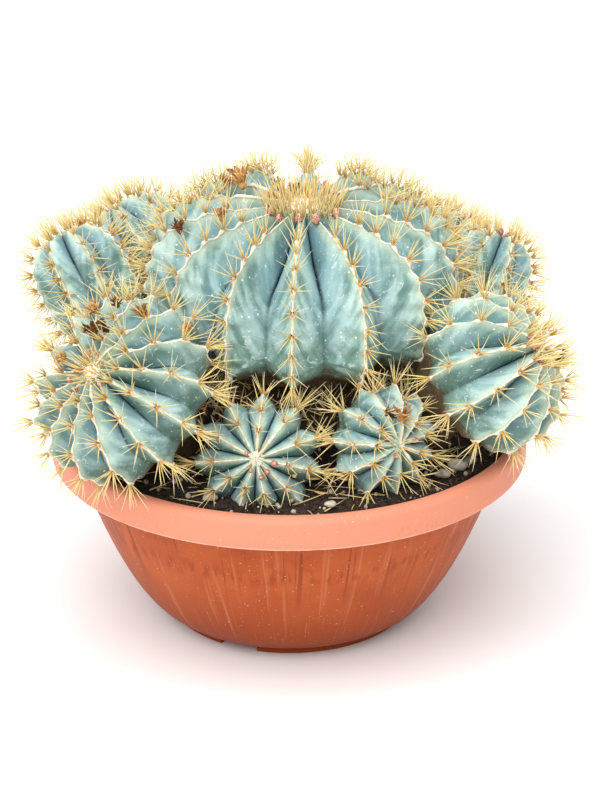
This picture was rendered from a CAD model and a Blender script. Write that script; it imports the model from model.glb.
from functools import partial
from math import cos, hypot, inf, pi, radians, sin, sqrt, tau
from random import Random

import bpy
import numpy as np
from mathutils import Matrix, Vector, noise
from mathutils.bvhtree import BVHTree


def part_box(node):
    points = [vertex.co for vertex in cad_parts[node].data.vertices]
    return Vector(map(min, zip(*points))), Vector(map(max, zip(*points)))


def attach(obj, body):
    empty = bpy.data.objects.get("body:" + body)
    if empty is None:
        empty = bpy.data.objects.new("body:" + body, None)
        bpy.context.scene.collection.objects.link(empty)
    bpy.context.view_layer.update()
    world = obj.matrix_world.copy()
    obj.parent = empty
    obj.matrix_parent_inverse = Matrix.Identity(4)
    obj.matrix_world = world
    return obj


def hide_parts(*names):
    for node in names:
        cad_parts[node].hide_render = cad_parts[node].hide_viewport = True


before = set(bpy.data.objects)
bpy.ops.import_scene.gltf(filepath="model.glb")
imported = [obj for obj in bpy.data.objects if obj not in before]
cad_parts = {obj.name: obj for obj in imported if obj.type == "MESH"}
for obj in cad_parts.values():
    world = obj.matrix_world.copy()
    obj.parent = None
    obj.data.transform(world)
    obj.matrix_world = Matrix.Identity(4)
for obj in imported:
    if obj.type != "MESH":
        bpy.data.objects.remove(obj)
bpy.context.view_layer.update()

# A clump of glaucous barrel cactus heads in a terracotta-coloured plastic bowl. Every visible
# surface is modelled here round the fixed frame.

MM = 0.001
BODY = "root"  # the frame has one body: nothing on the plant moves

# ---- the bowl, in mm ----
BOWL_LOW, BOWL_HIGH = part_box("pot")
BOWL_HEIGHT = (BOWL_HIGH[2] - BOWL_LOW[2]) / MM
RIM_RADIUS = (BOWL_HIGH[0] - BOWL_LOW[0]) / 2 / MM
RIM_BAND = 27  # height of the band that hangs round the rim
RIM_EDGE = BOWL_HEIGHT - RIM_BAND  # height of that band's lower edge
LIP_RADIUS = RIM_RADIUS - 11  # inner edge of the lip
WALL = 3
WALL_FOOT_RADIUS = 100.5
WALL_TOP_RADIUS = 189
WALL_POWER = 0.56  # the wall swells fast above the foot, then runs up steeply
WALL_SHOULDER = 146  # height where the wall turns out towards the lip
FOOT_HEIGHT = 5.5
FOOT_OUTER = 103
FOOT_INNER = 94
FLOOR = 3.5
FLOOR_HOLE = 20  # the floor is drawn in to this radius, then filled
NOTCH_BEARINGS = (-24.5, 95.5, 215.5)
NOTCH_SIZE = (33, 34, 2 * FOOT_HEIGHT - 0.4)
DRAIN_HOLES = 6
DRAIN_RADIUS = 5
DRAIN_CIRCLE = 60
BOWL_SEGMENTS = 168

# ---- the compost, in mm ----
SOIL_EDGE = 162
SOIL_CROWN = 176
SOIL_UPPER = 0.75  # share of the sphere, from its top, that becomes the mound
SOIL_CRUMBS = ((19, 0, 2.2), (7, 3, 1.3), (3, 8, 0.6))  # size, seed and height of the lumps

# ---- the heads ----
# centre in mm; azimuth in degrees round from the front, + to the right; tilt from upright;
# radius, height above and below the widest ring in mm; ribs; twist of the first rib;
# squareness of the upper half; foot in mm; radius of the corky neck
HEADS = {
    "main": ((11, 5, 276), 2, 6, 130, 86, 42, 14, -5, 3.6, (11, 5, 146), 56),
    "front_left": ((-131, -122, 246.5), -41, 51, 77, 45, 44, 14, 108, 2.4, (-86, -62, 150), 24),
    "front_mid": ((-24, -127, 189), -3, 65, 52, 31, 34, 11, 177, 2.2, (-20, -84, 150), 17),
    "front_right": ((77, -121, 202), 30, 77, 45, 23, 34, 11, 161, 2.2, (58, -78, 150), 16),
    "right": ((160, -83, 244), 68, 56, 66, 54, 38, 12, 213, 2.3, (106, -40, 150), 22),
    "left": ((-171, 35, 281), -122, 33, 42, 44, 72, 8, 60, 2.6, (-112, 28, 150), 20),
    "back_left": ((-132, 137, 275), -125, 44, 48, 40, 56, 10, -45, 2.4, (-86, 86, 150), 20),
    "rear_left": ((-34, 129, 200), -166, 58, 39, 32, 34, 10, 0, 2.2, (-28, 86, 150), 16),
    "rear_right": ((44, 127, 202), 164, 58, 40, 33, 34, 10, 10, 2.2, (38, 84, 150), 16),
    "back_right": ((133, 143, 261), 136, 42, 44, 40, 50, 9, 0, 2.4, (94, 88, 150), 19),
    "right_upper": ((169, 62, 274), 140, 32, 37, 37, 62, 8, -80, 2.6, (114, 40, 150), 17),
}
SMALL = 60  # a head under this radius in mm has the small heads' values
BELOW_SQUARE = 2.2  # squareness of every head's lower half
HEAD_END = 138  # degrees from the crown where the ribs run out in the neck
RIB_DEPTH = 3.1  # valley depth, in head radii over the number of ribs
VALLEY_AGES = (0, 0.35, 0.6, 0.84, 1)  # shares of the way from crown to neck
VALLEY_SHARES = (1.0, 1.2, 0.95, 0.7, 0.12)  # and the share of that depth there
SMALL_SHARES = (0.6, 0.80, 0.85, 0.65, 0.12)  # the same for the small heads
SLIT, SMALL_SLIT = ((0, 0.4), (0.62, 0)), ((0, 0.55), (0.8, 0.15))  # how far it is a mere slit
RIB_WANDER = 10  # degrees over the number of ribs that a rib may be astray
SHELTER_MAIN, SHELTER = 0.12, 0.95  # most dulling of skin turned from the sky

# ---- what grows on them, in mm ----
# areoles: distance apart, how much closer by the crown, and the first one in head radii
AREOLES = {"main": (17.5, 0.0, 0.42), "behind": (13, 0.2, 0.22), "large": (24, 0.3, 0.26),
           "small": (19, 0.2, 0.40)}
FAR_AREOLES = 165  # the main head's far ribs carry twice as many up to here
FELT_STEP = 1.9
FELT_END = 0.86  # shares of the way from crown to neck
SPINES_END = 0.90
LEAST_SPINE = 7
FLOWER_SIZE = 11
PETALS = 18
BUD_SIZES = (7.5, 10.5)
GOLDEN_TURN = 2.39996  # radians between one spine of the crown and the next
FLOWERS = {"main": ("main", "pale"), "left": ("front_left", "dark"),
           "right": ("front_right", "pale")}  # fixed flowers: head and shade
REMAINS = {  # for each head: rib, distance from the crown, size, shade
    "main": ((11.3, 68, 9, "pale"), (11.1, 104, 9, "dark"), (8.3, 40, 8, "dark"),
             (9.0, 68, 12, "pale"), (9.4, 73, 9, "pale"), (7.7, 24, 7, "dark")),
    "front_left": ((3.3, 36, 10, "dark"), (4.0, 54, 10, "pale"), (2.2, 60, 10, "pale"),
                   (1.3, 85, 9, "pale"), (6.3, 31, 9, "pale"), (3.4, 62, 7, "dark")),
    "back_left": ((1.6, 20, 8, "dark"),), "back_right": ((3.9, 28, 8, "pale"),),
    "right": ((6.5, 26, 8, "dark"),), "front_right": ((0.9, 27, 7, "dark"),),
    "left": ((3.5, 18, 7, "pale"),)}

# ---- what lies on the compost, in mm ----
PEBBLES = 6
LITTER = ((700, 52, 125, 1.6, 58),  # shed spines: how many, from and to what radius, how steep
          (190, 125, 177, 0.3, 1))  # they stand, and how high they are held off the compost
CHAFF = (190, 52, 150, 30)  # dead petals: how many, from and to what radius, how high

# ---- camera and lights ----
CAMERA_ELEVATION = 23.2
CAMERA_DISTANCE = 2.30
CAMERA_LENS = 123
AIM = Vector((9 * MM, 0, (BOWL_HEIGHT + 16) * MM))
SKY = 0.53  # strength of the white light from all round
# suns: where from, how broad in degrees, strength; so far off that the floor is lit evenly
LIGHTS = {"key_light": ((-0.65, -1.4, 2.1), 72, 2.7), "top_light": ((0.1, 0.2, 2.0), 100, 0.8)}


# ---- small helpers ----
def unit(vector):
    return np.asarray(vector) / np.linalg.norm(vector)


def take(*items):
    """Select nothing but these objects, the last of them as the active one."""
    for other in list(bpy.context.selected_objects):
        other.select_set(False)
    for item in items:
        item.select_set(True)
        bpy.context.view_layer.objects.active = item


def mode(name):
    bpy.ops.object.mode_set(mode=name)


def primitive(operator, **settings):
    """Add a primitive by itself, and put its place, turn and size into its mesh."""
    take()
    operator(**settings)
    item = bpy.context.object
    take(item)
    bpy.ops.object.transform_apply(location=True, rotation=True, scale=True)
    return item


def finish_piece(item, name, finish, replaced=(), smooth=None):
    """Name a piece, give it its material, and tell the frame what it is. An angle in degrees
    shades it smooth where its faces meet more gently."""
    if smooth:
        take(item)
        bpy.ops.object.shade_smooth_by_angle(angle=radians(smooth))
    item.name = item.data.name = name
    item.data.materials.append(finish)
    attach(item, BODY)
    if replaced:
        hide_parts(*replaced)
    return item


def join(item, other):
    take(other, item)
    bpy.ops.object.join()


def show(data):
    """A new object in the scene for a mesh or a curve."""
    item = bpy.data.objects.new(data.name, data)
    bpy.context.scene.collection.objects.link(item)
    return item


def read_points(item, kind="co"):
    """A mesh's points, or their normals, as rows."""
    points = np.empty(len(item.data.vertices) * 3, dtype=np.float64)
    item.data.vertices.foreach_get(kind, points)
    return points.reshape(-1, 3)


def write_points(item, points):
    item.data.vertices.foreach_set("co", np.asarray(points, dtype=np.float32).ravel())
    item.data.update()


def write_attributes(item, **attributes):
    for name, values in attributes.items():
        made = item.data.attributes.new(name, "FLOAT", "POINT")
        made.data.foreach_set("value", np.asarray(values, dtype=np.float32))


def wobble(points, size, seed=0.0):
    """Smooth noise from -1 to 1 at each point, with bumps of about the size in metres."""
    shift = Vector((seed, seed * 0.7, -seed))
    return np.array([noise.noise(Vector(point) / size + shift) for point in points])


def crumpled(item, bump, size):
    """Crease a finished mesh with noise of a bump height and a size in mm."""
    points = read_points(item)
    shift = np.stack([wobble(points, size * MM, seed) for seed in (1, 12, 23)], axis=1)
    write_points(item, points + shift * bump * MM)


def cut_across(item, heights):
    """Cut a shape of unit height across at some heights, so that its copies can bend."""
    take(item)
    mode("EDIT")
    for height in heights:
        bpy.ops.mesh.select_all(action="SELECT")
        bpy.ops.mesh.bisect(plane_co=(0, 0, height), plane_no=(0, 0, 1))
    mode("OBJECT")
    return item


def resize_level(item, height, across, through):
    """Scale what lies at one height of a shape, in X and in Y."""
    take(item)
    mode("EDIT")
    bpy.ops.mesh.select_all(action="DESELECT")
    mode("OBJECT")
    for vert in item.data.vertices:
        vert.select = abs(vert.co.z - height) < 0.02
    mode("EDIT")
    bpy.ops.transform.resize(value=(across, through, 1), center_override=(0, 0, height))
    mode("OBJECT")


# ---- materials ----
COLOUR = {"data_type": "RGBA", "out": 2}
SMOOTH = {"interpolation_type": "SMOOTHSTEP"}
TIMES = {"operation": "MULTIPLY"}
PLUS = {"operation": "ADD"}
TIMES_PLUS = {"operation": "MULTIPLY_ADD"}


def linear(colour):
    """A linear colour from an sRGB hex value such as #C3643F."""
    channels = [int(colour[place:place + 2], 16) / 255 for place in (1, 3, 5)]
    return (*[value / 12.92 if value <= 0.04045 else ((value + 0.055) / 1.055) ** 2.4
              for value in channels], 1.0)


def add_node(tree, kind, inputs=(), out=0, **settings):
    """Add a node and give one of its outputs. Its inputs go by name or in the node's order:
    each is a value, a hex colour, or a socket to link."""
    made = tree.nodes.new("ShaderNode" + kind)
    for name, value in settings.items():
        setattr(made, name, value)
    for name, value in inputs.items() if isinstance(inputs, dict) else enumerate(inputs):
        if isinstance(value, bpy.types.NodeSocket):
            tree.links.new(value, made.inputs[name])
        else:
            made.inputs[name].default_value = linear(value) if isinstance(value, str) else value
    return made.outputs[out] if made.outputs else None


def new_material(name):
    """An empty material, and the function that adds a node to it."""
    made = bpy.data.materials.new(name)
    made.use_nodes = True
    made.node_tree.nodes.clear()
    return made, partial(add_node, made.node_tree)


def close_material(made, base, coats, roughness, specular, height=None, strength=0.0, depth=0.0):
    """Lay coats, each a share and a colour, over a base colour, and make the surface, with a
    bump that is depth mm high."""
    add = partial(add_node, made.node_tree)
    for share, colour in coats:
        base = add("Mix", {0: share, 6: base, 7: colour}, **COLOUR)
    shader = {"Base Color": base, "Roughness": roughness, "Specular IOR Level": specular}
    if height is not None:
        bump = {"Height": height, "Strength": strength, "Distance": depth * MM}
        shader["Normal"] = add("Bump", bump)
    add("OutputMaterial", {"Surface": add("BsdfPrincipled", shader)})
    return made


def cactus_skin():
    """Living epidermis under a pale wax bloom: satin, blue-green, with scuffs and white
    mineral specks, folds fanning from the valleys, and brown cork at the foot."""
    made, add = new_material("glaucous_cactus_skin")
    place = add("TexCoord", out="Object")
    flank, across, along, age, sheltered = [
        add("Attribute", out="Fac", attribute_name=name)
        for name in ("flank", "across", "along", "age", "sheltered")]
    patches, mottle, drift, bare, rub, creep, bark, fine = [
        add("TexNoise", {"Vector": place, "Scale": 1000 / size, "Detail": detail,
                         "Roughness": rough, "Distortion": twist})
        for size, detail, rough, twist in (
            (48, 4, 0.62, 0), (7, 6, 0.72, 0), (30, 2, 0.5, 0), (22, 5, 0.68, 0.6),
            (11, 7, 0.76, 1.6), (14, 5, 0.65, 0), (3, 4, 0.5, 0), (1.6, 3, 0.5, 0))]

    # long soft folds, 6.5 by 60 mm, that lean away from the crest
    lean = add("Mapping", {"Vector": add("CombineXYZ", (across, along)), "Scale": (6.5, 60, 1),
                           "Rotation": (0, 0, radians(-26))}, vector_type="TEXTURE")
    lean = add("VectorMath", (add("VectorMath", (place, (9, 9, 9)), **TIMES), lean), **PLUS)
    folds = add("TexNoise", {"Vector": lean, "Scale": 1.0})
    tone = add("Math", (folds, 1.5, patches), **TIMES_PLUS)
    tone = add("Math", (mottle, 0.5, tone), **TIMES_PLUS)
    tone = add("MapRange", (tone, 1.20, 1.84), **SMOOTH)

    young, low, upper, worn = [add("MapRange", (age, *span)) for span in (
        (0.10, 0.75, 0.9, 0.25), (0.60, 0.92, 0.0, 0.40), (0.40, 0.68, 0.9, 0.25),
        (0.2, 0.95, 0.0, 0.04))]

    # young skin near the crown and in the valleys is bluer and keeps more of its bloom
    deep = add("MapRange", (add("Math", (flank, drift), **PLUS), 0.55, 1.35), **SMOOTH)
    blue = add("Math", (young, deep), **TIMES)

    # the bloom has worn off in places: greener and darker, most of all towards the foot
    bare = add("MapRange", (add("Math", (bare, low), **PLUS), 0.53, 0.80, 0.0, 0.72), **SMOOTH)

    # the slit at the bottom of each valley collects dirt
    slit = add("Math", (add("MapRange", (flank, 0.87, 0.985), **SMOOTH), upper), **TIMES)

    # a yellow-green edge beside the woolly crest
    edge = add("MapRange", (across, 1.5, 4.5, 0.5, 0.0))

    # white scuffs and smears where spines and grit have rubbed the bloom
    rub = add("MapRange", (add("Math", (rub, worn), **PLUS), 0.595, 0.69, 0.0, 0.8))

    # specks of lime in two sizes, strewn in drifts
    specks = []
    for size, rare in ((6, 1.01), (3.2, 0.91)):
        cells = add("TexVoronoi", {"Vector": place, "Scale": 1000 / size})
        speck = add("MapRange", (cells, 0.09, 0.18, 0.9, 0.0))
        chosen = add("SeparateColor", (cells.node.outputs["Color"],))
        chosen = add("Math", (drift, 0.5, chosen), **TIMES_PLUS)
        chosen = add("Math", (chosen, rare), operation="GREATER_THAN")
        specks.append((add("Math", (speck, chosen), **TIMES), "#EFF5F0"))

    # the lower ends of the ribs have browned along their crests
    scorch = add("Math", (flank, -0.30, age), **TIMES_PLUS)
    scorch = add("Math", (bare, 0.22, scorch), **TIMES_PLUS)
    scorch = add("MapRange", (scorch, 0.84, 1.0, 0.0, 0.7), **SMOOTH)

    # cork: brown, dry and rough, creeping up from the foot
    creep = add("Math", (creep, 0.34, age), **TIMES_PLUS)
    cork = add("MapRange", (creep, 1.02, 1.12), **SMOOTH)
    bark = add("Mix", {0: bark, 6: "#2B2119", 7: "#7A6446"}, **COLOUR)

    # skin that is turned from the sky keeps less bloom and dust
    coats = [(tone, "#BFDBD5"), (blue, "#83A8B4"), (bare, "#64887A"), (sheltered, "#4C6C60"),
             (slit, "#26343A"), (edge, "#CBDCC0"), (rub, "#E2EDE8"), *specks,
             (scorch, "#7D7458"), (cork, bark)]
    rough = add("MapRange", (cork, 0.0, 1.0, 0.52, 0.92))
    height = add("Math", (folds, 2.0, fine), **TIMES_PLUS)
    return close_material(made, "#64887F", coats, rough, 0.35, height, 0.35, 0.6)


def pattern(add, place, size, low, high, most=1.0, **settings):
    """A share, up to most, as a noise of a size in mm runs from low to high."""
    spot = add("TexNoise", {"Vector": place, "Scale": 1000 / size, **settings})
    return add("MapRange", (spot, low, high, 0.0, most))


def crest_felt():
    """Woolly areole felt, matted into a cream line: matt, faintly pink, with rusty flecks."""
    made, add = new_material("areole_felt")
    place = add("TexCoord", out="Object")
    tuft = pattern(add, place, 5, 0.35, 0.65, Detail=3)
    fleck = pattern(add, place, 2.2, 0.62, 0.72, 0.55)
    fuzz = add("TexNoise", {"Vector": place, "Scale": 1000 / 0.9, "Detail": 3})
    return close_material(made, "#EAD6B8", [(tuft, "#FDF6E8"), (fleck, "#A8695A")], 0.95, 0.1,
                          fuzz, 0.8, 0.5)


def spine_horn():
    """Horny spines: smooth and faintly glossy, darker at the seat and bleached at the tip."""
    made, add = new_material("golden_spine_horn")
    height = add("Attribute", out="Fac", attribute_name="height")
    tone = add("Attribute", out="Fac", attribute_name="tone")
    coats = [(add("MapRange", span), colour) for span, colour in (
        ((height, 0.0, 0.45), "#F6DE96"), ((height, 0.55, 1.0, 0.0, 0.8), "#FBF0CA"),
        ((tone, 0.55, 1.0, 0.0, 0.75), "#E2CE9C"))]
    return close_material(made, "#E8BC76", coats, 0.42, 0.4)


def bowl_plastic():
    """Injection-moulded polypropylene dyed terracotta: satin, dulled by handling, with pale
    and dark trails left by water, smudges, scratches and lime specks."""
    made, add = new_material("terracotta_polypropylene")
    place = add("TexCoord", out="Object")
    parts = add("SeparateXYZ", (place,)).node.outputs
    bearing = add("Math", (parts["X"], parts["Y"]), operation="ARCTAN2")
    wall = add("CombineXYZ", (bearing, parts["Z"]))

    def marks(scale, low, high, most, detail=2.0):
        """Noise stretched along the wall, in marks to a radian and to a metre."""
        spot = add("VectorMath", (wall, scale), **TIMES)
        spot = add("TexNoise", {"Vector": spot, "Scale": 1.0, "Detail": detail})
        return add("MapRange", (spot, low, high, 0.0, most), **SMOOTH)

    def between(share, low, high, fade):
        """A share between two heights in mm, nought outside them."""
        for middle, side in ((low, fade), (high, -fade)):
            step = add("MapRange", (parts["Z"], (middle - side) * MM, (middle + side) * MM))
            share = add("Math", (share, step), **TIMES)
        return share

    cloud = pattern(add, place, 60, 0.3, 0.7, Detail=5, Roughness=0.6)
    base = add("MapRange", (parts["Z"], 95 * MM, 6 * MM, 0.0, 0.9))
    scuffs = add("Math", (marks((190, 120, 1), 0.56, 0.64, 0.6),
                          marks((2.2, 1, 1), 0.5, 0.56, 1.0)), **TIMES)
    coats = [
        (cloud, "#C06032"), (base, "#84350F"),
        # water trails that run down and inwards, and dark drips and smudges under the rim
        (marks((27, 6, 1), 0.58, 0.72, 0.30), "#D58F62"),
        (between(marks((40, 7, 1), 0.57, 0.68, 0.62, 1.0), 80, 150, 22), "#7C3318"),
        (between(marks((24, 50, 1), 0.47, 0.60, 0.8, 4.0), 97, 106, 7), "#8E3814"),
        (marks((150, 14, 1), 0.70, 0.76, 0.5), "#E3A684"),
        # the rim band faces the sky and has bleached to salmon; its lower edge is rubbed pale
        (between(0.88, RIM_EDGE, BOWL_HEIGHT + 9, 1.5), "#E6967A"),
        (between(marks((9, 1, 1), 0.3, 0.5, 0.6), RIM_EDGE - 0.6, RIM_EDGE + 1.4, 0.5), "#F9CDB8"),
        (between(scuffs, RIM_EDGE + 4, RIM_EDGE + 10, 2), "#C9694A"),
        # lime specks
        (pattern(add, place, 1.7, 0.72, 0.80, 0.6, Detail=1), "#F6D8C8"),
    ]
    smudge = add("MapRange", (cloud, 0.0, 1.0, 0.44, 0.58))
    grain = add("TexNoise", {"Vector": place, "Scale": 1000 / 1.2, "Detail": 3})
    return close_material(made, "#A8481E", coats, smudge, 0.16, grain, 0.12, 0.2)


def potting_compost():
    """Damp peat compost: almost black and crumbly, with fibre, bark dust and perlite grains."""
    made, add = new_material("peat_compost")
    place = add("TexCoord", out="Object")
    crumb = pattern(add, place, 5, 0.35, 0.7, Detail=6, Roughness=0.7)
    dust = pattern(add, place, 2.4, 0.66, 0.74, 0.8)
    return close_material(made, "#171210", [(crumb, "#54453A"), (dust, "#B8A890")], 0.95, 0.2,
                          crumb, 0.9, 1.5)


def river_grit(name, low, high):
    """Weathered grit: matt grey-buff stone with paler veins."""
    made, add = new_material(name)
    place = add("TexCoord", out="Object")
    vein = add("TexNoise", {"Vector": place, "Scale": 1000 / 4, "Detail": 5, "Roughness": 0.65})
    patch = add("TexNoise", {"Vector": place, "Scale": 1000 / 18})
    vein = add("MapRange", (add("Math", (vein, patch), **PLUS), 0.7, 1.3))
    return close_material(made, low, [(vein, high)], 0.85, 0.3, vein, 0.5, 0.5)


def bud_scales():
    """Closed buds: pink to maroon scales, each with a dry cream margin, darker at the seat."""
    made, add = new_material("bud_scales")
    place = add("TexCoord", out="Object")
    height = add("Attribute", out="Fac", attribute_name="height")
    margin = add("TexVoronoi", {"Vector": place, "Scale": 1000 / 2.2},
                 feature="DISTANCE_TO_EDGE", out="Distance")
    edge = add("MapRange", (margin, 0.04, 0.16, 0.65, 0.0))
    tip = add("MapRange", (height, 0.8, 1.0, 0.0, 0.8))
    coats = [(height, "#C4626C"), (edge, "#E9CFA9"), (tip, "#E3C188")]
    return close_material(made, "#7C2A3C", coats, 0.55, 0.4, margin, 0.6, 0.5)


def dried_tissue(name, low, high):
    """Dead petals: papery and matt, mottled brown, with darker veins along their folds."""
    made, add = new_material(name)
    place = add("TexCoord", out="Object")
    tone = add("Attribute", out="Fac", attribute_name="tone")
    mottle = add("TexNoise", {"Vector": place, "Scale": 1000 / 3, "Detail": 4, "Roughness": 0.65})
    mix = add("MapRange", (add("Math", (mottle, tone), **PLUS), 0.45, 1.35))
    return close_material(made, low, [(mix, high)], 0.85, 0.2, mottle, 0.7, 0.6)


def seamless_paper():
    """White seamless paper, matt, with the faint mottling of its fibres."""
    made, add = new_material("seamless_paper")
    place = add("TexCoord", out="Object")
    fibre = add("TexNoise", {"Vector": place, "Scale": 1000 / 25, "Detail": 3})
    return close_material(made, "#F8F8F8", [(fibre, "#FBFBFB")], 0.9, 0.1)


# ---- studio ----
def make_studio():
    scene = bpy.context.scene
    scene.view_settings.view_transform = "Standard"
    elevation = radians(CAMERA_ELEVATION)
    back = Vector((0, -cos(elevation), sin(elevation)))
    take()
    bpy.ops.object.camera_add(location=AIM + back * CAMERA_DISTANCE,
                              rotation=(radians(90) - elevation, 0, 0))
    scene.camera = bpy.context.object
    scene.camera.data.lens = CAMERA_LENS

    floor = primitive(bpy.ops.mesh.primitive_plane_add, size=60)
    floor.name = "studio_floor"
    floor.data.materials.append(seamless_paper())

    world = bpy.data.worlds.new("studio")
    world.use_nodes = True
    background = world.node_tree.nodes["Background"].inputs
    background["Color"].default_value = (1.0, 1.0, 1.0, 1.0)
    background["Strength"].default_value = SKY
    scene.world = world
    for name, (source, spread, strength) in LIGHTS.items():
        take()
        bpy.ops.object.light_add(type="SUN", location=source,
                                 rotation=Vector(source).to_track_quat("Z", "Y").to_euler())
        light = bpy.context.object
        light.name = name
        light.data.angle = radians(spread)
        light.data.energy = strength


# ---- bowl ----
def wall_radius(height):
    """Outer radius of the bowl's wall at a height, in mm."""
    share = max(0.0, height - FOOT_HEIGHT) / (BOWL_HEIGHT - FOOT_HEIGHT)
    return WALL_FOOT_RADIUS + (WALL_TOP_RADIUS - WALL_FOOT_RADIUS) * share ** WALL_POWER


def arc(centre, radius, start, end, count):
    """Points on a circle in the (radius, height) plane, angles in degrees from outwards."""
    angles = [radians(start + (end - start) * step / count) for step in range(count + 1)]
    return [(centre[0] + radius * cos(angle), centre[1] + radius * sin(angle)) for angle in angles]


def bowl_outline():
    """Radius and height in mm, from under the floor, up the outside and down the inside."""
    top = BOWL_HEIGHT
    heights = [FOOT_HEIGHT + (WALL_SHOULDER - FOOT_HEIGHT) * (step / 26) ** 1.7
               for step in range(27)]
    return [
        (FLOOR_HOLE, FOOT_HEIGHT), (FOOT_INNER, FOOT_HEIGHT), (FOOT_INNER + 0.5, 0.6),
        (FOOT_INNER + 1.1, 0), (FOOT_OUTER - 1.1, 0), (FOOT_OUTER - 0.2, 0.7),
        (FOOT_OUTER, FOOT_HEIGHT - 1.6), (FOOT_OUTER - 0.6, FOOT_HEIGHT - 0.9),
        *[(wall_radius(height), height) for height in heights],
        (wall_radius(WALL_SHOULDER) + 2.5, WALL_SHOULDER + 4), (LIP_RADIUS - 4, top - 13),
        (LIP_RADIUS + 1.5, top - 6.5), (RIM_RADIUS - WALL, top - 8.5),
        (RIM_RADIUS - WALL, RIM_EDGE + 0.4),
        *arc((RIM_RADIUS - 1.4, RIM_EDGE + 1.4), 1.4, -120, -10, 4),
        *[(RIM_RADIUS, top - RIM_BAND * share) for share in (0.75, 0.5, 0.3)],
        *arc((RIM_RADIUS - 6, top - 6), 6, 5, 85, 7),
        (LIP_RADIUS + 3.4, top),
        *arc((LIP_RADIUS + 2, top - 2), 2, 95, 175, 4),
        (LIP_RADIUS - 1, top - 6), (LIP_RADIUS - 5, top - 14), (LIP_RADIUS - 7, top - 18),
        *[(wall_radius(height) - WALL, height) for height in reversed(heights[2:-1])
          if height > FOOT_HEIGHT + FLOOR + 1],
        (WALL_FOOT_RADIUS, FOOT_HEIGHT + FLOOR), (FLOOR_HOLE, FOOT_HEIGHT + FLOOR)]


def extrude_rings(outline, segments):
    """Start from a circle and extrude it ring by ring along an outline in mm."""
    radius, height = outline[0]
    item = primitive(bpy.ops.mesh.primitive_circle_add, vertices=segments, radius=radius * MM,
                     location=(0, 0, height * MM))
    mode("EDIT")
    bpy.ops.mesh.select_all(action="SELECT")
    for new_radius, new_height in outline[1:]:
        rise = (new_height - height) * MM
        bpy.ops.mesh.extrude_region_move(TRANSFORM_OT_translate={"value": (0, 0, rise)})
        share = new_radius / radius
        bpy.ops.transform.resize(value=(share, share, 1), center_override=(0, 0, new_height * MM))
        radius, height = new_radius, new_height
    bpy.ops.mesh.select_all(action="SELECT")
    bpy.ops.mesh.remove_doubles(threshold=0.01 * MM)
    bpy.ops.mesh.fill_holes(sides=0)
    bpy.ops.mesh.select_all(action="SELECT")
    bpy.ops.mesh.normals_make_consistent(inside=False)
    mode("OBJECT")
    return item


def make_bowl():
    bowl = extrude_rings(bowl_outline(), BOWL_SEGMENTS)
    middle = (FOOT_INNER + FOOT_OUTER) / 2 * MM
    cutters = []
    for turn in map(radians, NOTCH_BEARINGS):
        cutters.append(primitive(
            bpy.ops.mesh.primitive_cube_add, size=1, rotation=(0, 0, turn),
            location=(middle * sin(turn), -middle * cos(turn), 0),
            scale=[side * MM for side in NOTCH_SIZE]))
    middle = DRAIN_CIRCLE * MM
    for number in range(DRAIN_HOLES):
        turn = tau * number / DRAIN_HOLES
        cutters.append(primitive(
            bpy.ops.mesh.primitive_cylinder_add, vertices=24, radius=DRAIN_RADIUS * MM,
            depth=30 * MM, location=(middle * sin(turn), -middle * cos(turn), 0)))
    take(bowl)
    for cutter in cutters:
        cut = bowl.modifiers.new("cut", "BOOLEAN")
        cut.operation = "DIFFERENCE"
        cut.solver = "EXACT"
        cut.object = cutter
        bpy.ops.object.modifier_apply(modifier=cut.name)
        bpy.data.objects.remove(cutter)
    finish_piece(bowl, "bowl", bowl_plastic(), ["pot"], 32)


# ---- compost ----
def soil_height(radius):
    """Height of the mound at a distance from the bowl's axis, both in mm."""
    share = np.minimum(1.0, np.asarray(radius) / LIP_RADIUS)
    return SOIL_EDGE + (SOIL_CROWN - SOIL_EDGE) * np.cos(share * pi / 2)


def make_compost():
    """A sphere: its upper part becomes the crumbly mound, its lower part fills the bowl."""
    soil = primitive(bpy.ops.mesh.primitive_uv_sphere_add, segments=216, ring_count=120, radius=1)
    points = read_points(soil)
    polar = np.arccos(np.clip(points[:, 2], -1, 1)) / pi
    turn = np.arctan2(points[:, 1], points[:, 0])
    upper = polar <= SOIL_UPPER
    radius = np.where(upper, (LIP_RADIUS - 4) * polar / SOIL_UPPER, 0)
    height = soil_height(radius)
    low = np.clip((polar - SOIL_UPPER) / 0.2, 0, 1)
    wall_height = SOIL_EDGE - 4 - low * (SOIL_EDGE - 4 - FOOT_HEIGHT - FLOOR - 1)
    wall = np.array([wall_radius(min(value, WALL_SHOULDER)) - WALL - 1 for value in wall_height])
    radius = np.where(upper, radius, wall * np.clip((1 - polar) / 0.05, 0, 1))
    height = np.where(upper, height, wall_height)
    mound = np.stack([radius * np.cos(turn), radius * np.sin(turn), height], axis=1) * MM
    crumbs = sum(wobble(mound, size * MM, seed) * bump for size, seed, bump in SOIL_CRUMBS)
    mound[:, 2] += np.where(upper, crumbs, 0) * MM
    write_points(soil, mound)
    finish_piece(soil, "compost", potting_compost(), ["soil"], 60)


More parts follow.
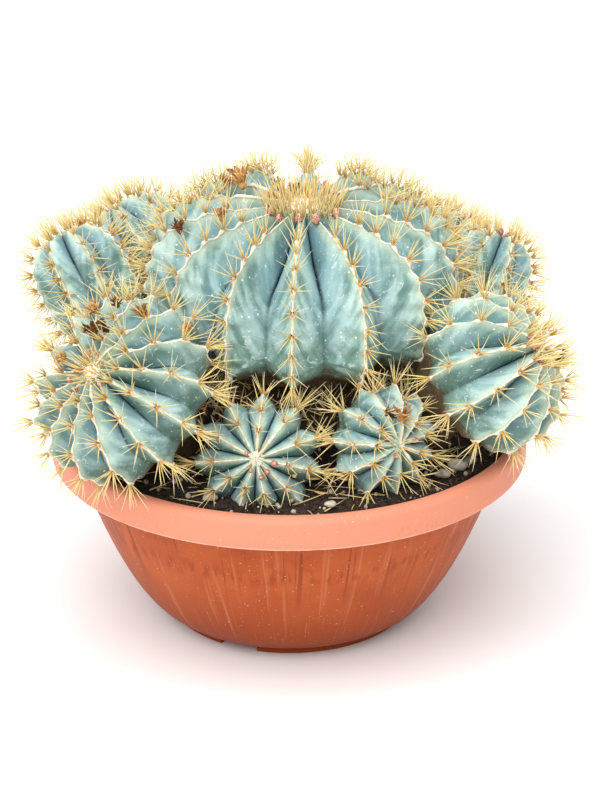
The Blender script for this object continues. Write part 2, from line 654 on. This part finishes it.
# ---- head surfaces ----
class Head:
    """One head's own shape, worked out once: everything that grows on it asks for places."""

    def __init__(self, key):
        self.key = key
        (centre, self.azimuth, tilt, self.size, self.above, self.below, self.ribs, twist,
         self.square, foot, self.neck) = HEADS[key]
        self.main = key == "main"
        self.small = self.size < SMALL
        self.centre, self.foot = np.array((centre, foot), dtype=float)
        self.set_frame(radians(self.azimuth), radians(tilt))
        self.set_outline()
        self.places = self.areole_places()
        wander = Random(key)
        self.turns = [radians(twist + 360 * rib / self.ribs
                                   + wander.uniform(-1, 1) * RIB_WANDER / self.ribs)
                      for rib in range(self.ribs)]
        # how far each rib's areoles are out of step with the next, as a share of a step
        self.shifts = [Random(f"{centre}{rib}").random() for rib in range(self.ribs)]

    def set_frame(self, azimuth, tilt):
        """Unit vectors down the slope, across it and along the axis."""
        axis = Vector((sin(tilt) * sin(azimuth), -sin(tilt) * cos(azimuth), cos(tilt)))
        down = Vector((0, 0, -1))
        down = (down - axis * down.dot(axis)).normalized()
        self.down, self.side, self.axis = map(np.array, (down, axis.cross(down), axis))

    def set_outline(self):
        """The crest line from crown to neck, evenly sampled along its length: distance along,
        radius, height above the widest ring, and the outward normal's two parts, all in mm."""
        angle = np.radians(np.linspace(0.01, HEAD_END, 1200))
        upper = angle <= pi / 2
        square = np.where(upper, self.square, BELOW_SQUARE)
        tall = np.where(upper, self.above, self.below)
        sine, cosine = np.sin(angle), np.cos(angle)
        radius = self.size * sine ** (2 / square)
        rise = tall * np.sign(cosine) * np.abs(cosine) ** (2 / square)
        out = sine ** (2 - 2 / square) / self.size
        up = np.sign(cosine) * np.abs(cosine) ** (2 - 2 / square) / tall
        length = np.hypot(out, up)
        along = np.concatenate([[0], np.cumsum(np.hypot(np.diff(radius), np.diff(rise)))])
        self.along = np.linspace(0, along[-1], 400)
        self.radius, self.rise, self.out, self.up = [
            np.interp(self.along, along, values)
            for values in (radius, rise, out / length, up / length)]

    def areole_places(self):
        """Distances along a crest where areoles sit: crowded by the crown, then evenly apart."""
        kind = ("main" if self.main else "behind" if abs(self.azimuth) > 100
                else "small" if self.small else "large")
        apart, crowded, first = AREOLES[kind]
        places = [self.size * first]
        while places[-1] < self.along[-1]:
            share = min(1.0, places[-1] / (self.size * 0.75))
            places.append(places[-1] + apart * (1 - crowded + crowded * share))
        return np.array(places)

    def at(self, values, along):
        return np.interp(along, self.along, values)

    def outward(self, turn):
        return self.down * cos(turn) + self.side * sin(turn)

    def turn(self, rib):
        """Bearing of a rib number, which may lie between two ribs."""
        number = np.asarray(rib, dtype=float)
        turns = np.array(self.turns + [self.turns[0] + tau])
        whole = np.floor(number / self.ribs) * tau
        return np.interp(np.mod(number, self.ribs), np.arange(self.ribs + 1), turns) + whole

    def is_far(self, rib):
        """True for the main head's ribs that lie behind its crown."""
        return self.main and cos(self.turns[rib]) < -0.1

    def beat(self, rib, along):
        """Cosine of the place between areoles: 1 at each areole of a rib, -1 midway."""
        count = np.interp(along, self.places, np.arange(len(self.places)))
        return np.cos(tau * (count - self.shifts[int(rib) % self.ribs]))

    def crest_swell(self, rib, along):
        """How far the crest stands out at a place, in mm: it peaks at each areole."""
        most = 1.7 if self.ribs == 14 else 1.2
        return most * np.clip(along / (self.size * 0.5), 0, 1) * self.beat(rib, along)

    def crest(self, rib, along, lift=0.0):
        """A point on a rib's crest in metres, with its outward, downhill and sideways units."""
        turn = self.turn(rib)
        outward = self.outward(turn)
        sideways = self.side * cos(turn) - self.down * sin(turn)
        out, up = self.at(self.out, along), self.at(self.up, along)
        normal = unit(outward * out + self.axis * up)
        downhill = outward * up - self.axis * out
        point = (self.centre + outward * self.at(self.radius, along)
                 + self.axis * self.at(self.rise, along)
                 + normal * (lift + self.crest_swell(rib, along)))
        return point * MM, normal, unit(downhill), sideways


def neck_point(head, start, share):
    """Centre of the neck from the head's underside (0) to its foot in the soil (1)."""
    control = start - head.axis * 0.35 * np.linalg.norm(head.foot - start)
    return start * (1 - share) ** 2 + control * 2 * share * (1 - share) + head.foot * share ** 2


def make_head(head, finish):
    """A sphere whose rings are carried down the ribbed outline and then down the neck."""
    per_rib, head_rings, neck_rings = (24, 128, 12) if head.main else (14, 76, 10)
    segments, rings = head.ribs * per_rib, head_rings + neck_rings
    item = primitive(bpy.ops.mesh.primitive_uv_sphere_add, segments=segments, ring_count=rings,
                     radius=1)
    ball = read_points(item)
    ring = np.rint(np.arccos(np.clip(ball[:, 2], -1, 1)) / pi * rings).astype(int)
    step = np.floor(np.arctan2(ball[:, 1], ball[:, 0]) / tau * segments + 0.1).astype(int)
    rib = np.mod(step, segments) / per_rib
    near = np.rint(rib)
    flank = np.abs(rib - near) * 2
    turn = head.turn(rib)

    along = head.along[-1] * np.minimum(ring / head_rings, 1.0)
    age = along / head.along[-1]
    radius, rise, out, up = [head.at(values, along)
                             for values in (head.radius, head.rise, head.out, head.up)]
    opening = np.clip(along / (head.size * 0.42), 0, 1) ** 0.8
    closing = np.clip((1 - age) / 0.16, 0, 1) ** 0.7
    depth = RIB_DEPTH * head.size / head.ribs * opening * np.interp(
        age, VALLEY_AGES, SMALL_SHARES if head.small else VALLEY_SHARES)
    sharp = np.interp(age, *(SMALL_SLIT if head.small else SLIT))
    sink = depth * ((1 - sharp) * flank + sharp * flank ** 3.6)
    swell = np.array([head.crest_swell(number, place) for number, place in zip(near, along)])
    sink -= swell * (1 - flank) ** 1.6 * closing
    outward = np.outer(np.cos(turn), head.down) + np.outer(np.sin(turn), head.side)
    points = (head.centre + outward * (radius - sink * out)[:, None]
              + np.outer(rise - sink * up, head.axis))
    points[ring == 0] = head.centre + head.axis * (head.above - 0.4)

    start = head.centre + head.axis * head.rise[-1]
    for number in range(head_rings + 1, rings + 1):
        share = (number - head_rings) / neck_rings
        heading = -unit(neck_point(head, start, share + 0.01)
                        - neck_point(head, start, share - 0.01))
        level_down = unit(head.down - heading * head.down.dot(heading))
        wide = head.radius[-1] * (1 - share) ** 3 * 0.5 + head.neck if number < rings else 0.0
        chosen = ring == number
        around = (np.outer(np.cos(turn[chosen]), level_down)
                  + np.outer(np.sin(turn[chosen]), np.cross(heading, level_down)))
        points[chosen] = neck_point(head, start, share) + around * wide
        age[chosen] = 1 + share
    metres = points * MM
    lumps = wobble(metres, 0.035, head.azimuth) * 1.3 + wobble(metres, 0.012, 5) * 0.35
    arms = metres - head.centre * MM
    metres += arms / np.linalg.norm(arms, axis=1, keepdims=True).clip(1e-6) * (lumps * MM)[:, None]
    write_points(item, metres)
    shelter = np.clip((0.45 - read_points(item, "normal")[:, 2]) / 1.05, 0, 1)
    write_attributes(item, sheltered=shelter * (SHELTER_MAIN if head.main else SHELTER),
                     flank=flank, across=flank * np.maximum(radius, 4) * pi / head.ribs,
                     along=along, age=age)
    finish_piece(item, "head_" + head.key, finish, ["stem_" + head.key], 75)


# ---- felt along the crests ----
def make_felt(head, finish):
    """A wool pad in the crown and a curve along each rib, thick at the areoles."""
    curve = bpy.data.curves.new("felt", "CURVE")
    curve.dimensions = "3D"
    curve.bevel_depth = MM
    curve.bevel_resolution = 1
    curve.use_fill_caps = True
    end = head.along[-1] * FELT_END
    count = int(end / FELT_STEP)
    share = min(1.0, 0.6 + 0.4 * head.size / SMALL) * (1.0 if head.main else 0.85)
    for rib in range(head.ribs):
        spline = curve.splines.new("POLY")
        spline.points.add(count - 1)
        for number in range(count):
            along = 1.0 + (end - 1.0) * number / (count - 1)
            tuft = max(0.0, head.beat(rib, along - 1.5)) ** 2
            thick = 0.80 + 1.45 * tuft + 0.5 * noise.noise(Vector((along / 4, rib * 7.1, 0)))
            spline.points[number].co = (*head.crest(rib, along, -0.2)[0], 1)
            spline.points[number].radius = thick * share * min(1.0, 0.45 + along / head.size)
    take(show(curve))
    bpy.ops.object.convert(target="MESH")
    item = bpy.context.object
    pad = primitive(
        bpy.ops.mesh.primitive_uv_sphere_add, segments=40, ring_count=20,
        radius=(14 if head.main else 3 + head.size * 0.06) * MM, scale=(1, 1, 0.3),
        location=(head.centre + head.axis * (head.above - 2)) * MM,
        rotation=Vector(head.axis).to_track_quat("Z", "Y").to_euler())
    join(item, pad)
    points = read_points(item)
    rough = wobble(points, 0.0022) * 0.55 * MM
    write_points(item, points + read_points(item, "normal") * rough[:, None])
    finish_piece(item, "felt_" + head.key, finish, smooth=80)


# ---- spines ----
def model_spine():
    """One straight spine, one long and one wide, pointing up: five sides and three lengths."""
    return cut_across(primitive(bpy.ops.mesh.primitive_cone_add, vertices=5, radius1=0.5,
                                radius2=0.06, depth=1, location=(0, 0, 0.5)), (0.33, 0.67))


def spread_copies(source, placed):
    """One mesh of many bent copies of a shape. Each place is a point, a direction, a length,
    a thickness, a bend and a tone."""
    shape = read_points(source)
    faces = [tuple(face.vertices) for face in source.data.polygons]
    points, all_faces = [], []
    for number, (base, direction, length, thick, bend, _) in enumerate(placed):
        turn = np.array(Vector(direction).to_track_quat("Z", "Y").to_matrix())
        local = np.stack([shape[:, 0] * thick + bend * length * shape[:, 2] ** 2,
                          shape[:, 1] * thick, shape[:, 2] * length], axis=1)
        points.append(local @ turn.T + np.asarray(base))
        all_faces += [tuple(corner + number * len(shape) for corner in face) for face in faces]
    mesh = bpy.data.meshes.new("copies")
    mesh.from_pydata(np.concatenate(points), [], all_faces)
    mesh.shade_smooth()
    item = show(mesh)
    write_attributes(item, height=np.tile(shape[:, 2], len(placed)),
                     tone=np.repeat([place[-1] for place in placed], len(shape)))
    return item


def free_length(base, direction, length, trees):
    """How long a spine can be before it meets one of the bodies, in metres."""
    start, direction = Vector(base) + Vector(direction) * 0.5 * MM, Vector(direction)
    room = length + 2 * MM
    for tree in trees:
        hit = tree.ray_cast(start, direction, room)
        if hit[0] is not None:
            room = min(room, hit[3] - 0.5 * MM)
    return min(length, room)


def inside(point, trees, room, reach=inf):
    """True where a point lies in one of the bodies, or has less room to its surface."""
    point = Vector(point)
    for tree in trees:
        nearest, normal, index, distance = tree.find_nearest(point)
        if (point - nearest).dot(normal) < room and distance < reach:
            return True
    return False


def areole_spines(head, rib, along, wander, trees):
    """The fan of spines on one areole, one of them standing in its middle."""
    point, normal, downhill, sideways = head.crest(rib, along, 0.2)
    size = 0.82 + 0.18 * min(1.0, head.size / 100)
    age = along / head.along[-1]
    young = max(0.0, 1 - age / 0.3)
    rays = 7 if head.main else wander.choice((6, 7, 8) if head.small else (7, 8, 9))
    narrow, broad = (20, 68) if head.is_far(rib) else (14, 40) if head.main else (16, 46)
    placed = []
    for ray in range(rays + 1):
        spread = wander.uniform(0, 12) if ray == rays else wander.uniform(narrow, broad)
        spread = radians(spread * (1 - 0.4 * young))
        heading = tau * (ray + 0.5) / rays + radians(wander.uniform(-16, 16))
        flat = -downhill * cos(heading) + sideways * sin(heading)
        direction = unit(normal * cos(spread) + flat * sin(spread) + head.axis * 0.8 * young)
        length = wander.uniform(19, 28 if head.main else 30) * size * MM
        length = free_length(point, direction, length, trees)
        if length < LEAST_SPINE * MM:
            continue
        base = point + flat * 0.5 * MM - normal * 0.6 * MM
        thick = wander.uniform(1.15, 1.5) * size * MM
        placed.append((base, direction, length, thick, wander.uniform(-0.06, 0.06),
                       wander.random() * (0.45 + 0.5 * age)))
    return placed


def crown_tuft(head, wander):
    """The brush of young spines that stands in the crown, upright and nearly parallel."""
    count, reach, stray, splay, share_length = (
        (280, 31, 0.24, 0.36, 1.0) if head.main else
        (int(head.size * (0.2 if head.small else 0.8)), head.size * 0.16, 0.12, 0.6, 0.8))
    placed = []
    for number in range(count):
        share = sqrt((number + 0.5) / count)
        outward = head.outward(number * GOLDEN_TURN + wander.uniform(-0.2, 0.2))
        radius, rise = [head.at(values, reach * share) for values in (head.radius, head.rise)]
        base = (head.centre + outward * radius + head.axis * (rise - 1.5)) * MM
        lean = 0.05 + splay * share + wander.uniform(-stray, stray)
        direction = unit(head.axis + outward * lean + head.side * wander.uniform(-stray, stray))
        length = wander.uniform(14, 29) * share_length * MM
        placed.append((base, direction, length, wander.uniform(0.95, 1.35) * MM,
                       wander.uniform(-0.06, 0.06), wander.random() * 0.45))
    return placed


def make_spines(head, finish, trees):
    """Spines on each areole that lies in the open, kept short of the other bodies."""
    wander = Random("spines " + head.key)
    placed = []
    for rib in range(head.ribs):
        places = head.places[:-1] + head.shifts[rib] * np.diff(head.places)
        if head.is_far(rib):
            between = (places[1:] + places[:-1]) / 2
            places = np.concatenate([places, between[between < FAR_AREOLES]])
        for along in places:
            point = head.crest(rib, along, 1.0)[0]
            flat = hypot(point[0], point[1]) / MM
            in_soil = flat < LIP_RADIUS and point[2] / MM < soil_height(flat) + 1
            if (along <= head.along[-1] * SPINES_END and not in_soil
                    and not inside(point, trees, 1 * MM, 40 * MM)):
                placed += areole_spines(head, rib, along, wander, trees + [BOWL_TREE])
    placed += crown_tuft(head, wander)
    finish_piece(spread_copies(SPINE, placed), "needles_" + head.key, finish,
                 ["spines_" + head.key])


# ---- buds and dried flowers ----
def model_bud():
    """A closed bud, one long and one wide: an egg drawn to a blunt point."""
    item = primitive(bpy.ops.mesh.primitive_uv_sphere_add, segments=12, ring_count=8, radius=0.5,
                     location=(0, 0, 0.5))
    for level, share in ((0.691, 0.86), (0.854, 0.72), (0.962, 0.6)):
        resize_level(item, level, share, share)
    return item


def model_petal():
    """A dry petal, one long and one wide: a thin strap, widest past its middle."""
    heights = (0.25, 0.5, 0.72, 0.88)
    item = cut_across(primitive(bpy.ops.mesh.primitive_cube_add, size=1, location=(0, 0, 0.5),
                                scale=(1, 0.12, 1)), heights)
    for level, share in zip((0, *heights, 1), (0.35, 0.62, 0.9, 1.0, 0.7, 0.15)):
        resize_level(item, level, share, 1.0)
    return item


def make_dried_flower(name, point, direction, size, finish, replaced=()):
    """A withered flower of a size in mm: its ovary, with the petals clenched over it."""
    wander = Random(name)
    direction = unit(direction)
    sideways = unit(np.cross(direction, (0.31, 0.17, 0.94)))
    other = np.cross(direction, sideways)
    tone = wander.random()
    placed = []
    for petal in range(PETALS):
        turn = petal * 2.4 + wander.uniform(-0.3, 0.3)
        flat = sideways * cos(turn) + other * sin(turn)
        heading = unit(direction + flat * wander.uniform(0.15, 1.1))
        base = point + direction * size * wander.uniform(0.25, 0.6) * MM + flat * size * 0.16 * MM
        placed.append((base, heading, size * wander.uniform(0.55, 1.0) * MM,
                       size * wander.uniform(0.22, 0.4) * MM, wander.uniform(-0.7, 0.7),
                       min(1.0, max(0.0, tone + wander.uniform(-0.35, 0.35)))))
    ovary = spread_copies(BUD, [(point - direction * size * 0.15 * MM, direction,
                                 size * 0.95 * MM, size * 0.62 * MM, 0.0, tone)])
    join(ovary, spread_copies(PETAL, placed))
    crumpled(ovary, size * 0.12, size * 0.35)
    finish_piece(ovary, name, finish, replaced)


def make_flowers():
    """Three withered flowers stand for fixed solids; the others are smaller remains."""
    for name, (key, shade) in FLOWERS.items():
        low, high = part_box("dried_flower_" + name)
        middle = np.array((low + high) / 2)
        outward = unit(middle - GROWN[key].centre * MM)
        make_dried_flower("withered_" + name, middle - outward * 5 * MM,
                          outward + np.array((0, 0, 0.3)), FLOWER_SIZE, HUSKS[shade],
                          ["dried_flower_" + name])
    number = 0
    for key, remains in REMAINS.items():
        for rib, along, size, shade in remains:
            number += 1
            point, normal = GROWN[key].crest(rib, along, -2)[:2]
            make_dried_flower(f"remains_{number}", point, normal + GROWN[key].axis * 0.4, size,
                              HUSKS[shade])


def make_buds(head, finish):
    """Buds sit in the wool beside the crown, one to most ribs."""
    chance, start, share = (0.85, 31, 1.0) if head.main else (0.4, head.size * 0.17 + 3, 0.75)
    wander = Random("buds " + head.key)
    placed = []
    for rib in range(head.ribs):
        if wander.random() > chance:
            continue
        along = start + wander.uniform(-3, 4)
        point, normal, downhill, sideways = head.crest(rib + wander.uniform(-0.2, 0.2), along, -1)
        direction = unit(normal + head.axis * 1.2 + sideways * wander.uniform(-0.3, 0.3))
        size = wander.uniform(*BUD_SIZES) * share * MM
        placed.append((point - direction * 1.5 * MM, direction, size, size * 0.72, 0.0,
                       wander.random()))
    if placed:
        finish_piece(spread_copies(BUD, placed), "buds_" + head.key, finish)


# ---- what lies on the compost ----
def open_place(wander, inner, outer, lift=1):
    """A place, in metres, that no head takes up, on the compost or held up to a lift in mm off
    it, between two radii in mm."""
    while True:
        radius = sqrt(wander.uniform(inner ** 2, outer ** 2))
        turn = wander.uniform(0, tau)
        point = np.array((radius * cos(turn), radius * sin(turn),
                          float(soil_height(radius)) + wander.uniform(1, lift))) * MM
        if not inside(point, TREES.values(), 0.5 * MM):
            return point


def tumbled(wander):
    """A random direction that lies near the level."""
    turn = wander.uniform(0, tau)
    return unit((cos(turn), sin(turn), wander.uniform(-0.15, 0.3)))


def make_stones():
    """One weathered pebble for each fixed one, and grit, perlite and bark between them."""
    pale = river_grit("pale_river_grit", "#8E8272", "#D9D0C2")
    grey = river_grit("grey_river_grit", "#6A6660", "#B4B0A8")
    for number in range(1, PEBBLES + 1):
        low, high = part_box(f"pebble_{number}")
        stone = primitive(bpy.ops.mesh.primitive_ico_sphere_add, subdivisions=4, radius=0.5,
                          location=(low + high) / 2, scale=high - low)
        crumpled(stone, 1.3, 6)
        crumpled(stone, 0.25, 1.5)
        finish_piece(stone, f"stone_{number}", pale if number % 3 else grey,
                     [f"pebble_{number}"])
    grain = primitive(bpy.ops.mesh.primitive_ico_sphere_add, subdivisions=1, radius=0.5,
                      location=(0, 0, 0.4))
    bark = river_grit("bark_crumbs", "#1E1612", "#5C4634")
    perlite = river_grit("expanded_perlite", "#B9B4A8", "#E6E2D8")
    for name, count, sizes, squat, finish, slot in (
            ("grit", 240, (2.0, 5.5), 0.8, pale, "pebbles"),
            ("dark_grit", 200, (2.5, 7.0), 0.9, bark, "potting_soil"),
            ("perlite", 80, (1.2, 2.4), 1.0, perlite, "potting_soil")):
        wander = Random(name)
        placed = []
        for _ in range(count):
            size = wander.uniform(*sizes) * MM
            placed.append((open_place(wander, 60, LIP_RADIUS - 8), tumbled(wander), size * squat,
                           size, 0.0, wander.random()))
        item = spread_copies(grain, placed)
        crumpled(item, 0.5, 3)
        finish_piece(item, name, finish)
    bpy.data.objects.remove(grain)


def make_litter(finish):
    """Shed spines, flat in the open and heaped in the gaps under the heads, and dead petals."""
    wander = Random("litter")
    trees = [*TREES.values(), BOWL_TREE]
    placed = []
    for count, inner, outer, steep, lift in LITTER:
        for _ in range(count):
            point = open_place(wander, inner, outer, lift)
            direction = unit(tumbled(wander) + np.array((0, 0, wander.uniform(0, steep))))
            length = free_length(point, direction, wander.uniform(17, 31) * MM, trees)
            if length > 6 * MM:
                placed.append((point, direction, length, wander.uniform(1.0, 1.4) * MM,
                               wander.uniform(-0.1, 0.1), wander.uniform(0.2, 1.0)))
    finish_piece(spread_copies(SPINE, placed), "shed_spines", finish)
    count, inner, outer, lift = CHAFF
    placed = [(open_place(wander, inner, outer, lift), tumbled(wander),
               wander.uniform(6, 12) * MM, wander.uniform(3, 5) * MM, wander.uniform(-0.5, 0.5),
               wander.random()) for _ in range(count)]
    item = spread_copies(PETAL, placed)
    crumpled(item, 0.8, 4)
    finish_piece(item, "chaff", HUSKS["pale"])


def cad_tree(node):
    """A search tree of one fixed CAD solid."""
    mesh = bpy.data.objects[node].data
    return BVHTree.FromPolygons([vert.co for vert in mesh.vertices],
                                [tuple(face.vertices) for face in mesh.polygons])


# ---- making it all ----
make_studio()
make_bowl()
make_compost()

SKIN, FELT, HORN, BUD_SKIN = cactus_skin(), crest_felt(), spine_horn(), bud_scales()
HUSKS = {"pale": dried_tissue("papery_dried_petal", "#A8713A", "#E3B778"),
         "dark": dried_tissue("withered_brown_petal", "#2E1A0E", "#8A5A30")}
GROWN = {key: Head(key) for key in HEADS}
TREES = {key: cad_tree("stem_" + key) for key in HEADS}
BOWL_TREE = cad_tree("pot")
SPINE, BUD, PETAL = model_spine(), model_bud(), model_petal()
for key, head in GROWN.items():
    make_head(head, SKIN)
    make_felt(head, FELT)
    make_spines(head, HORN, [tree for name, tree in TREES.items() if name != key])
    make_buds(head, BUD_SKIN)
make_flowers()
make_stones()
make_litter(HORN)
for source in (SPINE, BUD, PETAL):
    bpy.data.objects.remove(source)
